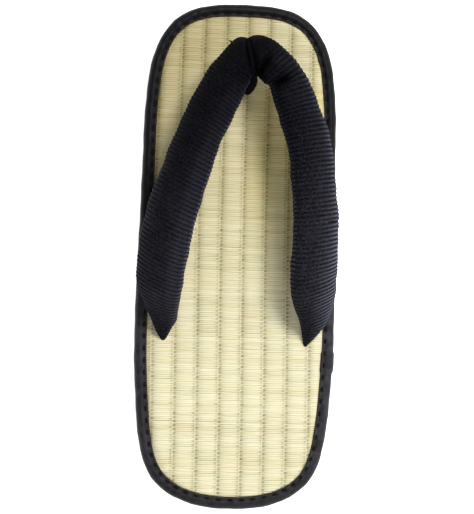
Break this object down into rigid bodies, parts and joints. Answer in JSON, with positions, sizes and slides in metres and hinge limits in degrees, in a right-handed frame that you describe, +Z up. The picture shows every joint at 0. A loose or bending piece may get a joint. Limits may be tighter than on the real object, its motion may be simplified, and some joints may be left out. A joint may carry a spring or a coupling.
{
  "type": "zori sandal",
  "caption": "Flat thonged zori sandal: a woven rush footbed with a taped edge on a foam-rubber sole, under a padded black cloth strap cinched at the toe.",
  "frame": {"origin": "on the floor, under the middle of the sole's outline", "axes": "+Y towards the toe, +Z up, +X to the wearer's right"},
  "size_m": [0.1052, 0.265, 0.0649],
  "materials": {
    "foam_rubber": "matt black foam rubber with fine grooves across the floor side",
    "woven_rush": "pale green-straw rush, woven across the foot in lengthwise columns, satin",
    "edge_tape_cloth": "smooth black cloth tape, slightly puckered at its stitches",
    "ribbed_strap_cloth": "black corded cloth, with fine ribs across the strap",
    "thong_cloth": "black woven cloth, matt"
  },
  "bodies": {
    "root": {"outsole": "foam_rubber", "insole": "woven_rush", "edge_tape": "edge_tape_cloth", "strap": "ribbed_strap_cloth", "toe_thong": "thong_cloth"}
  },
  "joints": []
}
